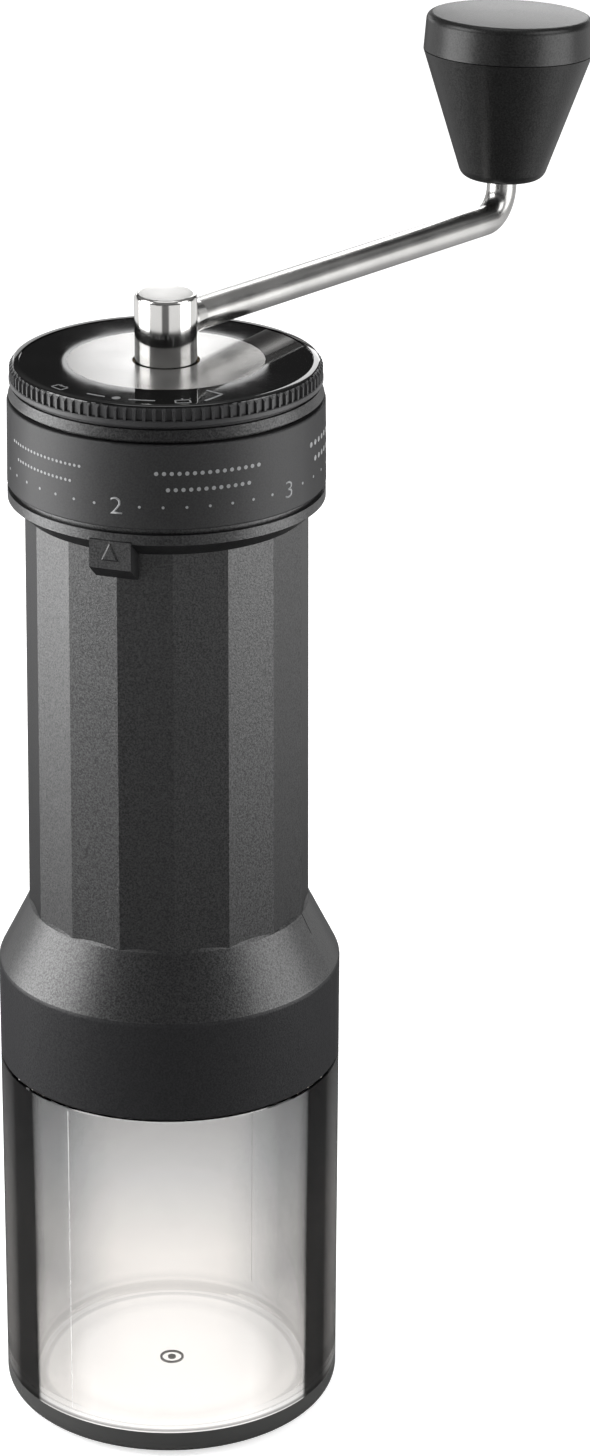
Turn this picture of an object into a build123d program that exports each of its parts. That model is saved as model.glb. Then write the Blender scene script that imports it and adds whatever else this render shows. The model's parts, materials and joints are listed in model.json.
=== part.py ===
from build123d import *
import math
import os

# Hand crank coffee grinder, in millimetres.
# The origin is the centre of the jar's base, +Z is up and the index tab faces -Y.

# Fits and gaps
part_gap = 0.3  # between curved faces that move past each other
running_fit = 0.05  # radial, round piece that turns in its bush
seat_fit = 0.02  # radial, piece held in its seat
slide_gap = 0.05  # between flat faces that slide on each other
root_depth = 0.4  # how far a ridge or spoke reaches into what carries it

# Barrel, flare and collar of the housing
hopper_radius = 23.2
barrel_wall = 2.3  # at the middle of a flat, at the top
barrel_sides = 16
barrel_draft = 0.5  # how much wider the barrel is at its foot
barrel_height = 78.0
flare_overhang = 6.0  # how far the collar stands out from the barrel's foot
flare_height = 11.8
seat_gap = 0.05  # round the barrel's corners, where it stands in the flare
seat_depth = 0.5  # of the dark line round the barrel's foot
crease_round = 2.0
collar_height = 19.8
edge_break = 0.4  # small chamfer on moulded edges

# Jar
jar_body_height = 72.0
jar_wall = 5.4
jar_floor = 4.0
jar_base_round = 3.0
jar_floor_round = 2.0
neck_height = 12.4
neck_wall = 1.9
collar_gap = 0.2  # between the jar's shoulder and the collar's foot
seal_thickness = 1.5
gate_ring_radius = 2.35
gate_ring_width = 0.45
gate_dot_radius = 0.9
gate_mark_height = 0.3

# Lug threads of the jar and of the lid
lug_count = 6
lug_arc = 40.0  # degrees
jar_lug_depth = 0.9
jar_lug_thickness = 1.4
jar_lug_pitch = 3.6
jar_lug_drop = 3.0  # from the neck's rim to the middle of its lugs
lid_lug_depth = 0.9
lid_lug_thickness = 1.2
lid_lug_pitch = 3.0
lid_lug_margin = 0.4  # skirt below its lugs

# Rings around the top of the housing
tube_wall = 1.7
index_ring_wall = 4.2
index_ring_height = 4.6
index_band_height = 1.9
index_spigot_step = 0.8
tab_width = 7.9
tab_stand_out = 0.2  # front of the tab, beyond the ring
tab_overlap = 0.4  # how far the tab reaches up over the ring's band
tab_length = 5.3
tab_slope = 2.7  # how far the tab's underside slopes down to the barrel
triangle_width = 3.5
triangle_height = 3.6
triangle_line = 0.4
triangle_depth = 0.25
dial_groove = 1.0  # height of the dark groove under the dial
dial_wall = 3.95
dial_height = 15.7
dial_draft = 0.2
dial_edge_round = 0.35
top_groove = 0.8  # height of the dark groove above the dial
top_ring_wall = 3.8
top_ring_height = 1.7
top_ring_slope = 0.6
top_spigot_step = 1.1

# Lid
lid_gap = 0.6  # height of the dark notch under the lid
lid_lip_wall = 3.6
lid_lip_height = 1.1
lip_round = 0.28
lid_spigot_step = 0.9
rib_inset = 0.1  # rib tips, inside the lip
rib_count = 102
rib_depth = 0.5
rib_share = 0.45  # part of the pitch that a rib takes up
rib_height = 2.55
rib_top_inset = 0.25  # where the slope on top of the ribs starts, inside their roots
lid_edge_round = 0.5
lid_rim = 0.7  # ring left around the cover plate
plate_thickness = 1.5  # cover plate and disc
disc_radius = 17.95
disc_hole_gap = 0.45
skirt_wall = 2.0
skirt_depth = 7.2

# Crank
hub_radius = 5.7
hub_rise = 12.45  # above the lid
hub_top_round = 0.8
hub_clip_thickness = 0.9
hub_clip_depth = 0.6
hub_clip_stand_out = 1.5
hub_foot_margin = 0.4  # below the clip's groove
arm_drop_from_top = 5.8  # hub's top to the bar's centre line at the axis
bar_radius = 2.95
bar_insertion = 3.8  # how far the bar goes into the hub
weld_flare = 0.55  # how far the weld widens the bar at the hub
weld_length = 3.2
crank_length = 112.2
crank_fall = 2.4  # degrees
crank_azimuth = 73.6  # degrees from +X
bend_radius = 6.0
socket_roof = 2.5  # metal between the bar and the socket

# Knob, measured along the bar's upright end from the bar's corner
knob_foot = 7.8
knob_body_height = 25.5
knob_foot_radius = 8.1
knob_foot_round = 2.7
knob_radius = 16.75
knob_cap_height = 7.05
knob_cap_taper = 0.4
knob_cap_round = 1.4
knob_crown = 0.9
knob_seam = 0.15
knob_bush_wall = 1.3
knob_bush_inset = 1.0
knob_chamber_radius = 6.6
knob_chamber_height = 3.6
knob_spigot_radius = 12.0
knob_spigot_height = 3.4
knob_washer_radius = 5.4
knob_washer_thickness = 0.8
knob_screw_radius = 1.5
knob_screw_length = 10.0
knob_head_radius = 3.0
knob_head_height = 2.0

# Hub bush in the lid
hub_bush_wall = 1.6
hub_flange_radius = 9.6
hub_flange_thickness = 1.85

# Drive shaft
shaft_radius = 4.0
drive_square = 5.6
drive_fit = 0.1
drive_end_gap = 0.8
shaft_shoulder = 0.3  # round length above the upper clip
shaft_lift_room = 0.7  # between the shaft's shoulder and the hub's foot
burr_square = 5.0
burr_square_fit = 0.05
thread_radius = 2.4
thread_excess = 0.6
bush_wall = 1.5
clip_thickness = 0.9
clip_depth = 0.5
clip_stand_out = 2.2
washer_thickness = 0.6
washer_stand_out = 2.8

# Bearing spider
arm_count = 3
spider_rise = 5.6  # middle of the arms above the dial's foot
spider_arm_width = 5.0
spider_arm_height = 5.0
spider_hub_wall = 1.5
spider_hub_height = 8.0
slot_travel = 1.6  # room above and below the arms in their slots

# Burr set and carrier
carrier_depth = 10.1  # from the jar seal up to the carrier's seat
carrier_bore_wall = 1.6  # seal's shoulder, from the collar's bore in to the carrier's bore
carrier_flange = 3.0
carrier_cup_wall = 2.35
carrier_lip = 0.5
carrier_hub_wall = 0.9
carrier_hub_rise = 4.5
spoke_width = 4.0
funnel_height = 4.5
burr_radius = 19.0
burr_height = 13.5
burr_mouth_radius = 14.5
burr_throat_radius = 13.5
burr_throat_height = 8.0
burr_foot_radius = 17.0
burr_gap = 0.55  # radial, at rest
burr_set_up = 0.2  # inner burr's foot above the outer burr's
burr_nose_radius = 6.0
fine_teeth = 40
coarse_teeth = 8
tooth_width = 0.8
tooth_depth = 0.6
tooth_slant = 18.0  # degrees
coarse_tooth_width = 2.2
coarse_tooth_depth = 1.6
burr_washer_thickness = 0.8
burr_washer_radius = 6.5
nut_across_flats = 8.0
nut_height = 4.0
screw_radius = 1.2
screw_head_radius = 2.2
screw_head_height = 1.6
screw_length = 7.5
screw_circle = 25.6
screw_hole_spare = 0.6

# Radii worked out from the driving dimensions
half_side_angle = math.pi / barrel_sides
barrel_top_radius = (hopper_radius + barrel_wall) / math.cos(half_side_angle)
barrel_foot_radius = barrel_top_radius + barrel_draft
collar_radius = barrel_foot_radius + flare_overhang
jar_radius = collar_radius
jar_bore = jar_radius - jar_wall
neck_radius = jar_bore + neck_wall
collar_bore = neck_radius + jar_lug_depth + part_gap
carrier_bore = collar_bore - carrier_bore_wall
tube_radius = hopper_radius + tube_wall
ring_seat = tube_radius + seat_fit
index_ring_radius = tube_radius + index_ring_wall
dial_bore = tube_radius + part_gap
dial_radius = dial_bore + dial_wall
top_ring_radius = tube_radius + top_ring_wall
lip_radius = tube_radius + lid_lip_wall
rib_radius = lip_radius - rib_inset
rib_root_radius = rib_radius - rib_depth
cover_seat = rib_root_radius - lid_rim
skirt_radius = hopper_radius - lid_lug_depth - part_gap
bush_radius = shaft_radius + running_fit + bush_wall
hub_bush_bore = hub_radius + running_fit
hub_bush_radius = hub_bush_bore + hub_bush_wall
spindle_bore = bar_radius + running_fit
knob_bush_radius = spindle_bore + knob_bush_wall

# Direction of the first spider arm, midway between two lugs of the lid's thread
spider_angle = 180 / lug_count

# Heights worked out from the driving dimensions
neck_top = jar_body_height + neck_height
seal_top = neck_top + seal_thickness
collar_foot = jar_body_height + collar_gap
crease = collar_foot + collar_height
flare_top = crease + flare_height
barrel_top = flare_top + barrel_height
index_top = barrel_top + index_ring_height
dial_foot = index_top + dial_groove
dial_top = dial_foot + dial_height
top_ring_foot = dial_top + top_groove
tube_top = top_ring_foot + top_ring_height
lip_foot = tube_top + lid_gap
rib_foot = lip_foot + lid_lip_height
lid_top = rib_foot + rib_height
plate_foot = lid_top - plate_thickness
skirt_foot = lip_foot - skirt_depth
jar_lug_middle = neck_top - jar_lug_drop
collar_lug_middle = jar_lug_middle - jar_lug_pitch / 2
lid_lug_rise = (lid_lug_thickness + lid_lug_pitch * lug_count * lug_arc / 360) / 2
lid_lug_middle = skirt_foot + lid_lug_rise + lid_lug_margin
tube_lug_middle = lid_lug_middle + lid_lug_pitch / 2
carrier_seat = seal_top + carrier_depth
carrier_flange_foot = carrier_seat - carrier_flange
burr_top = carrier_seat - funnel_height
burr_foot = burr_top - burr_height
inner_burr_foot = burr_foot + burr_set_up
thread_foot = inner_burr_foot - burr_washer_thickness - nut_height - thread_excess
spider_middle = dial_foot + spider_rise
spider_hub_foot = spider_middle - spider_hub_height / 2
spider_hub_top = spider_middle + spider_hub_height / 2
upper_washer_foot = spider_hub_top + slide_gap
upper_clip_foot = upper_washer_foot + washer_thickness + slide_gap
lower_washer_foot = spider_hub_foot - slide_gap - washer_thickness
lower_clip_foot = lower_washer_foot - slide_gap - clip_thickness
shaft_round_top = upper_clip_foot + clip_thickness + shaft_shoulder
hub_foot = shaft_round_top + shaft_lift_room
hub_clip_foot = hub_foot + hub_foot_margin
hub_bush_foot = hub_clip_foot + hub_clip_thickness + slide_gap
hub_top = lid_top + hub_rise
arm_height = hub_top - arm_drop_from_top
socket_top = arm_height - bar_radius - socket_roof
drive_top = socket_top - drive_end_gap

# Crank frame: the bar runs out along crank_direction, its upright end along spindle_direction
azimuth = math.radians(crank_azimuth)
fall = math.radians(crank_fall)
outward = Vector(math.cos(azimuth), math.sin(azimuth), 0)
upward = Vector(0, 0, 1)
crank_direction = outward * math.cos(fall) - upward * math.sin(fall)
spindle_direction = outward * math.sin(fall) + upward * math.cos(fall)
crank_root = Vector(0, 0, arm_height)
bar_corner = crank_root + crank_direction * (crank_length / math.cos(fall))
knob_place = Plane(origin=bar_corner, x_dir=crank_direction, z_dir=spindle_direction).location
bar_place = Plane(origin=crank_root, z_dir=crank_direction).location
spindle_length = knob_foot + knob_body_height - knob_spigot_height - knob_chamber_height


def turned(*outline):
    """Solid of revolution about Z, from the (radius, height) corners of its half section."""
    section = make_face(Polyline(*[(radius, 0, height) for radius, height in outline], close=True))
    return revolve(section, Axis.Z)


def rod(radius, low, high):
    """Upright cylinder about Z."""
    return Pos(0, 0, low) * Cylinder(radius, high - low, align=(Align.CENTER, Align.CENTER, Align.MIN))


def ring(inner_radius, outer_radius, low, high):
    """Upright tube about Z."""
    return turned((inner_radius, low), (outer_radius, low), (outer_radius, high), (inner_radius, high))


def square_bar(side, low, high):
    """Upright square bar about Z."""
    return Pos(0, 0, low) * Box(side, side, high - low, align=(Align.CENTER, Align.CENTER, Align.MIN))


def around(count, shape, first_angle=0.0):
    """Copies of a shape, evenly spaced about Z."""
    return [Rot(0, 0, first_angle + 360 / count * index) * shape for index in range(count)]


def round_edges(solid, radius, height):
    """The circular edges of a solid at one radius and height."""
    circles = solid.edges().filter_by(GeomType.CIRCLE)
    return [
        edge
        for edge in circles
        if abs(edge.radius - radius) < 0.001 and abs(edge.arc_center.Z - height) < 0.001
    ]


def thread_lugs(inner_radius, outer_radius, thickness, middle, pitch):
    """Short ridges of a lug thread: ring sectors, each tipped to the thread's lead."""
    lead = pitch * lug_count
    slope = math.degrees(math.atan(lead / (math.pi * (inner_radius + outer_radius))))
    low = -thickness / 2
    high = thickness / 2
    section = Polyline(
        (inner_radius, 0, low),
        (outer_radius, 0, low),
        (outer_radius, 0, high),
        (inner_radius, 0, high),
        close=True,
    )
    sector = Rot(0, 0, -lug_arc / 2) * revolve(make_face(section), Axis.Z, revolution_arc=lug_arc)
    return around(lug_count, Pos(0, 0, middle) * Rot(slope, 0, 0) * sector)


def barrel_prism(margin, low, high):
    """Many-sided barrel with its draft, a margin larger, between two heights."""
    sections = []
    for height in (low, high):
        share = (height - flare_top) / barrel_height
        radius = barrel_foot_radius - barrel_draft * share + margin
        sections.append(Pos(0, 0, height) * RegularPolygon(radius, barrel_sides))
    return loft(sections, ruled=True)


def make_jar():
    body = turned(
        (0, 0),
        (jar_radius, 0),
        (jar_radius, jar_body_height),
        (neck_radius, jar_body_height),
        (neck_radius, neck_top),
        (0, neck_top),
    )
    body = fillet(round_edges(body, jar_radius, 0), jar_base_round)
    body = chamfer(round_edges(body, jar_radius, jar_body_height), edge_break)
    hollow = rod(jar_bore, jar_floor, neck_top)
    hollow = fillet(round_edges(hollow, jar_bore, jar_floor), jar_floor_round)
    lugs = thread_lugs(
        neck_radius - root_depth,
        neck_radius + jar_lug_depth,
        jar_lug_thickness,
        jar_lug_middle,
        jar_lug_pitch,
    )
    mark_top = jar_floor + gate_mark_height
    gate_ring = ring(gate_ring_radius - gate_ring_width, gate_ring_radius, jar_floor, mark_top)
    gate_dot = rod(gate_dot_radius, jar_floor, mark_top)
    return body - hollow + lugs + gate_ring + gate_dot


def make_jar_seal():
    return ring(jar_bore + part_gap, collar_bore - part_gap, neck_top, seal_top)


def make_barrel_housing():
    seat_radius = barrel_foot_radius + seat_gap
    seat_floor = flare_top - seat_depth
    foot = turned(
        (0, collar_foot),
        (collar_radius, collar_foot),
        (collar_radius, crease),
        (seat_radius, flare_top),
        (seat_radius, seat_floor),
        (0, seat_floor),
    )
    foot = fillet(round_edges(foot, collar_radius, crease), crease_round)
    foot = chamfer(round_edges(foot, collar_radius, collar_foot), edge_break)
    barrel = barrel_prism(0, crease, barrel_top)
    tube = rod(tube_radius, barrel_top - root_depth, tube_top)
    hollow = rod(collar_bore, collar_foot, seal_top)
    hollow += rod(carrier_bore, seal_top, carrier_seat)
    hollow += rod(hopper_radius, carrier_seat, tube_top)
    collar_lugs = thread_lugs(
        collar_bore - jar_lug_depth,
        collar_bore + root_depth,
        jar_lug_thickness,
        collar_lug_middle,
        jar_lug_pitch,
    )
    tube_lugs = thread_lugs(
        hopper_radius - lid_lug_depth,
        hopper_radius + root_depth,
        lid_lug_thickness,
        tube_lug_middle,
        lid_lug_pitch,
    )
    slot_foot = spider_middle - spider_arm_height / 2 - slot_travel
    slot = Pos(hopper_radius + tube_wall / 2, 0, slot_foot) * Box(
        4 * tube_wall,
        spider_arm_width + 2 * part_gap,
        tube_top - slot_foot,
        align=(Align.CENTER, Align.CENTER, Align.MIN),
    )
    slots = around(arm_count, slot, spider_angle)
    hole_top = carrier_flange_foot + screw_length + screw_hole_spare
    hole = Pos(screw_circle, 0, 0) * rod(screw_radius + seat_fit, carrier_seat, hole_top)
    holes = around(arm_count, hole)
    return foot + barrel + tube - hollow + collar_lugs + tube_lugs - slots - holes


def make_index_ring():
    band_foot = index_top - index_band_height
    body = turned(
        (ring_seat, barrel_top),
        (barrel_top_radius, barrel_top),
        (index_ring_radius, band_foot),
        (index_ring_radius, index_top),
        (index_ring_radius - index_spigot_step, index_top),
        (index_ring_radius - index_spigot_step, dial_foot - slide_gap),
        (ring_seat, dial_foot - slide_gap),
    )
    front = -(index_ring_radius + tab_stand_out)
    tab_top = band_foot + tab_overlap
    tab_foot = tab_top - tab_length
    back = -ring_seat
    side = make_face(
        Polyline(
            (0, front, tab_top),
            (0, front, tab_foot),
            (0, -barrel_top_radius, tab_foot - tab_slope),
            (0, back, tab_foot - tab_slope),
            (0, back, tab_top),
            close=True,
        )
    )
    tab = extrude(side, tab_width / 2, dir=(1, 0, 0), both=True)
    tab -= barrel_prism(seat_fit, tab_foot - 2 * tab_slope, barrel_top)
    tab -= rod(ring_seat, barrel_top, tab_top)
    return body + tab - index_triangle(front, (tab_top + tab_foot) / 2)


def index_triangle(front, middle):
    """Engraved outline of an upward triangle on the tab's front, about its incentre."""
    half_width = triangle_width / 2
    inradius = half_width * triangle_height / (half_width + math.hypot(half_width, triangle_height))
    outlines = []
    for size in (1, 1 - triangle_line / inradius):
        low = -inradius * size
        high = (triangle_height - inradius) * size
        outlines.append(Polygon((-half_width * size, low), (half_width * size, low), (0, high), align=None))
    face_plane = Plane(origin=(0, front, middle), x_dir=(1, 0, 0), z_dir=(0, -1, 0))
    return extrude(face_plane * (outlines[0] - outlines[1]), -triangle_depth)


def make_dial_ring():
    top_radius = dial_radius - dial_draft
    body = turned(
        (dial_bore, dial_foot), (dial_radius, dial_foot), (top_radius, dial_top), (dial_bore, dial_top)
    )
    edges = round_edges(body, dial_radius, dial_foot) + round_edges(body, top_radius, dial_top)
    return fillet(edges, dial_edge_round)


def make_top_ring():
    spigot_radius = top_ring_radius - top_spigot_step
    return turned(
        (ring_seat, dial_top + slide_gap),
        (spigot_radius, dial_top + slide_gap),
        (spigot_radius, top_ring_foot),
        (top_ring_radius, top_ring_foot),
        (top_ring_radius - top_ring_slope, tube_top),
        (ring_seat, tube_top),
    )


def lid_ribs():
    """Upright grip ribs, cut back at the top by the lid's rounded edge."""
    half = math.pi / rib_count * rib_share
    root = rib_root_radius - root_depth
    rib = extrude(
        make_face(
            Polyline(
                (root * math.cos(half), -root * math.sin(half)),
                (rib_root_radius * math.cos(half), -rib_root_radius * math.sin(half)),
                (rib_radius, -rib_radius * math.sin(half / 2)),
                (rib_radius, rib_radius * math.sin(half / 2)),
                (rib_root_radius * math.cos(half), rib_root_radius * math.sin(half)),
                (root * math.cos(half), root * math.sin(half)),
                close=True,
            )
        ),
        rib_height,
    )
    slope_start = rib_root_radius - rib_top_inset
    slope_end = slope_start + rib_height
    slope = turned((slope_start, lid_top), (slope_end, lid_top - rib_height), (slope_end, lid_top))
    return around(rib_count, Pos(0, 0, rib_foot) * rib - slope)


def make_lid_ring():
    core = turned(
        (hub_bush_radius + running_fit, lip_foot),
        (skirt_radius - skirt_wall, lip_foot),
        (skirt_radius - skirt_wall, skirt_foot),
        (skirt_radius, skirt_foot),
        (skirt_radius, lip_foot),
        (tube_radius, lip_foot),
        (tube_radius, tube_top + slide_gap),
        (lip_radius - lid_spigot_step, tube_top + slide_gap),
        (lip_radius - lid_spigot_step, lip_foot),
        (lip_radius, lip_foot),
        (lip_radius, rib_foot),
        (rib_root_radius, rib_foot),
        (rib_root_radius, lid_top),
        (cover_seat, lid_top),
        (cover_seat, plate_foot),
        (hub_bush_radius + running_fit, plate_foot),
    )
    core = fillet(round_edges(core, rib_root_radius, lid_top), lid_edge_round)
    lip_edges = round_edges(core, lip_radius, rib_foot) + round_edges(core, lip_radius, lip_foot)
    core = fillet(lip_edges, lip_round)
    lugs = thread_lugs(
        skirt_radius - root_depth,
        skirt_radius + lid_lug_depth,
        lid_lug_thickness,
        lid_lug_middle,
        lid_lug_pitch,
    )
    return core + lugs + lid_ribs()


def make_lid_cover():
    return ring(disc_radius + seat_fit, cover_seat - seat_fit, plate_foot, lid_top)


def make_lid_disc():
    return ring(hub_radius + disc_hole_gap, disc_radius, plate_foot, lid_top)


def make_hub_bush():
    flange_foot = lip_foot - slide_gap - hub_flange_thickness
    return turned(
        (hub_bush_bore, hub_bush_foot),
        (hub_bush_radius, hub_bush_foot),
        (hub_bush_radius, flange_foot),
        (hub_flange_radius, flange_foot),
        (hub_flange_radius, flange_foot + hub_flange_thickness),
        (hub_bush_radius, flange_foot + hub_flange_thickness),
        (hub_bush_radius, plate_foot - slide_gap),
        (hub_bush_bore, plate_foot - slide_gap),
    )


def open_clip(inner_radius, outer_radius, low, thickness):
    """Retaining clip: a flat ring with a gap on one side."""
    mouth = Pos(outer_radius, 0, low + thickness / 2) * Box(outer_radius * 2, inner_radius, thickness * 2)
    return ring(inner_radius, outer_radius, low, low + thickness) - mouth


def make_hub_clip():
    inner = hub_radius - hub_clip_depth + seat_fit
    outer = hub_radius + hub_clip_stand_out
    return open_clip(inner, outer, hub_clip_foot, hub_clip_thickness)


def make_crank_hub():
    body = rod(hub_radius, hub_foot, hub_top)
    body = fillet(round_edges(body, hub_radius, hub_top), hub_top_round)
    socket = square_bar(drive_square + 2 * drive_fit, hub_foot, socket_top)
    groove = ring(
        hub_radius - hub_clip_depth,
        hub_radius + hub_clip_depth,
        hub_clip_foot - seat_fit,
        hub_clip_foot + hub_clip_thickness + seat_fit,
    )
    bar_hole = bar_place * rod(bar_radius + seat_fit, hub_radius - bar_insertion, hub_radius * 2)
    return body - socket - groove - bar_hole


def make_crank_arm():
    start = crank_root + crank_direction * (hub_radius - bar_insertion + seat_fit)
    tip = bar_corner + spindle_direction * (spindle_length + slide_gap)
    path = FilletPolyline(start, bar_corner, tip, radius=bend_radius)
    bar = sweep(Plane(origin=start, z_dir=crank_direction) * Circle(bar_radius), path=path)
    weld_end = hub_radius + weld_length
    weld_radius = bar_radius + weld_flare
    weld = bar_place * turned(
        (0, hub_radius / 2),
        (weld_radius, hub_radius / 2),
        (weld_radius, hub_radius),
        (bar_radius, weld_end),
        (0, weld_end),
    )
    weld -= rod(hub_radius + seat_fit, hub_foot, hub_top)
    screw_hole = knob_place * rod(
        knob_screw_radius + seat_fit, spindle_length - knob_screw_length, spindle_length + bar_radius
    )
    return bar + weld - screw_hole


def make_knob_body():
    top = knob_foot + knob_body_height
    body = turned((0, knob_foot), (knob_foot_radius, knob_foot), (knob_radius, top), (0, top))
    body = fillet(round_edges(body, knob_foot_radius, knob_foot), knob_foot_round)
    body -= rod(spindle_bore + part_gap, knob_foot, knob_foot + knob_bush_inset)
    body -= rod(knob_bush_radius + seat_fit, knob_foot + knob_bush_inset, spindle_length)
    body -= rod(knob_chamber_radius, spindle_length, top)
    body -= rod(knob_spigot_radius + seat_fit, top - knob_spigot_height, top)
    return knob_place * body


def make_knob_cap():
    foot = knob_foot + knob_body_height + knob_seam
    top = foot + knob_cap_height
    rim_radius = knob_radius - knob_cap_taper
    body = turned((0, foot), (knob_radius, foot), (rim_radius, top), (0, top))
    crown_radius = (rim_radius**2 + knob_crown**2) / (2 * knob_crown)
    body += Pos(0, 0, top + knob_crown - crown_radius) * Sphere(crown_radius) & rod(rim_radius, foot, top * 2)
    body = fillet(round_edges(body, rim_radius, top), knob_cap_round)
    spigot = rod(knob_spigot_radius, foot - knob_spigot_height, foot)
    return knob_place * (body + spigot)


def make_knob_bush():
    return knob_place * ring(spindle_bore, knob_bush_radius, knob_foot + knob_bush_inset, spindle_length)


def make_knob_washer():
    foot = spindle_length + slide_gap
    return knob_place * ring(
        knob_screw_radius + seat_fit, knob_washer_radius, foot, foot + knob_washer_thickness
    )


def make_knob_screw():
    head_foot = spindle_length + slide_gap + knob_washer_thickness
    shank = rod(knob_screw_radius, spindle_length - knob_screw_length + slide_gap, head_foot)
    head = rod(knob_head_radius, head_foot, head_foot + knob_head_height)
    slot = Box(2 * knob_head_radius, knob_screw_radius / 2, knob_head_height)
    slot = Pos(0, 0, head_foot + knob_head_height) * slot
    return knob_place * (shank + head - slot)


def make_drive_shaft():
    body = rod(thread_radius, thread_foot, inner_burr_foot)
    body += square_bar(burr_square, inner_burr_foot, burr_top)
    body += rod(shaft_radius, burr_top, shaft_round_top)
    body += square_bar(drive_square, shaft_round_top, drive_top)
    for clip_foot in (lower_clip_foot, upper_clip_foot):
        body -= ring(
            shaft_radius - clip_depth,
            shaft_radius + clip_depth,
            clip_foot - seat_fit,
            clip_foot + clip_thickness + seat_fit,
        )
    return body


def make_bearing_spider():
    hub = rod(bush_radius + spider_hub_wall, spider_hub_foot, spider_hub_top)
    reach = tube_radius - bush_radius
    arm = Pos(bush_radius + reach / 2, 0, spider_middle) * Box(reach, spider_arm_width, spider_arm_height)
    arm &= rod(tube_radius, spider_hub_foot, spider_hub_top)
    arms = around(arm_count, arm, spider_angle)
    return hub + arms - rod(bush_radius + seat_fit, spider_hub_foot, spider_hub_top)


def make_upper_bush():
    return ring(shaft_radius + running_fit, bush_radius, spider_hub_foot, spider_hub_top)


def make_shaft_clips():
    inner = shaft_radius - clip_depth + seat_fit
    outer = shaft_radius + clip_stand_out
    feet = (lower_clip_foot, upper_clip_foot)
    return Compound([open_clip(inner, outer, foot, clip_thickness) for foot in feet])


def make_thrust_washers():
    inner = shaft_radius + running_fit
    outer = shaft_radius + washer_stand_out
    feet = (lower_washer_foot, upper_washer_foot)
    return Compound([ring(inner, outer, foot, foot + washer_thickness) for foot in feet])


def make_burr_carrier():
    cup_radius = burr_radius + seat_fit + carrier_cup_wall
    cup_foot = burr_foot - carrier_lip
    flange_radius = carrier_bore - seat_fit
    body = turned(
        (burr_radius + seat_fit, cup_foot),
        (cup_radius, cup_foot),
        (cup_radius, carrier_flange_foot),
        (flange_radius, carrier_flange_foot),
        (flange_radius, carrier_seat),
        (hopper_radius, carrier_seat),
        (burr_mouth_radius, burr_top),
        (burr_radius + seat_fit, burr_top),
    )
    hub_top_height = carrier_seat + carrier_hub_rise
    hub = rod(bush_radius + seat_fit + carrier_hub_wall, carrier_flange_foot, hub_top_height)
    reach = hopper_radius + root_depth
    spoke = Box(reach, spoke_width, carrier_flange)
    spoke = Pos(reach / 2, 0, carrier_flange_foot + carrier_flange / 2) * spoke
    bridge = hub + around(arm_count, spoke, 180 / arm_count)
    bridge -= rod(bush_radius + seat_fit, carrier_flange_foot, hub_top_height)
    hole = Pos(screw_circle, 0, 0) * rod(screw_radius + 2 * running_fit, carrier_flange_foot, carrier_seat)
    return body + bridge - around(arm_count, hole)


def make_lower_bush():
    return ring(shaft_radius + running_fit, bush_radius, carrier_flange_foot, carrier_seat + carrier_hub_rise)


def make_carrier_screws():
    head_foot = carrier_flange_foot - screw_head_height
    shank = rod(screw_radius, carrier_flange_foot, carrier_flange_foot + screw_length)
    head = rod(screw_head_radius, head_foot, carrier_flange_foot)
    slot = Pos(0, 0, head_foot) * Box(2 * screw_head_radius, screw_radius / 2, screw_head_height)
    return Compound(around(arm_count, Pos(screw_circle, 0, 0) * (shank + head - slot)))


def burr_teeth(count, width, depth, low, low_radius, high, high_radius, slant):
    """Slanted cutters spaced round a cone, each sunk to its depth at the cone's face."""
    length = 2 * math.hypot(high - low, high_radius - low_radius)
    lean = math.degrees(math.atan2(high_radius - low_radius, high - low))
    cutter = Rot(0, lean, 0) * Rot(slant, 0, 0) * Box(2 * depth, width, length)
    middle = Pos((low_radius + high_radius) / 2, 0, (low + high) / 2)
    return around(count, middle * cutter)


def make_outer_burr():
    throat = burr_foot + burr_throat_height
    body = turned(
        (burr_foot_radius, burr_foot),
        (burr_radius, burr_foot),
        (burr_radius, burr_top),
        (burr_mouth_radius, burr_top),
        (burr_throat_radius, throat),
    )
    teeth = burr_teeth(
        fine_teeth,
        tooth_width,
        tooth_depth,
        burr_foot,
        burr_foot_radius,
        throat,
        burr_throat_radius,
        -tooth_slant,
    )
    return body - teeth


def make_inner_burr():
    throat = burr_foot + burr_throat_height
    flank = (burr_foot_radius - burr_throat_radius) / burr_throat_height
    foot_radius = burr_foot_radius - burr_gap - flank * burr_set_up
    throat_radius = burr_throat_radius - burr_gap
    body = turned(
        (0, inner_burr_foot),
        (foot_radius, inner_burr_foot),
        (throat_radius, throat),
        (burr_nose_radius, burr_top),
        (0, burr_top),
    )
    fine = burr_teeth(
        fine_teeth,
        tooth_width,
        tooth_depth,
        inner_burr_foot,
        foot_radius,
        throat,
        throat_radius,
        tooth_slant,
    )
    coarse = burr_teeth(
        coarse_teeth,
        coarse_tooth_width,
        coarse_tooth_depth,
        throat,
        throat_radius,
        burr_top,
        burr_nose_radius,
        tooth_slant,
    )
    return body - fine - coarse - square_bar(burr_square + 2 * burr_square_fit, inner_burr_foot, burr_top)


def make_burr_washer():
    foot = inner_burr_foot - burr_washer_thickness
    return ring(thread_radius + seat_fit, burr_washer_radius, foot, inner_burr_foot)


def make_burr_nut():
    foot = inner_burr_foot - burr_washer_thickness - nut_height
    hexagon = RegularPolygon(nut_across_flats / 2, 6, major_radius=False)
    body = Pos(0, 0, foot) * extrude(hexagon, nut_height)
    return body - rod(thread_radius + seat_fit, foot, foot + nut_height)


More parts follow.
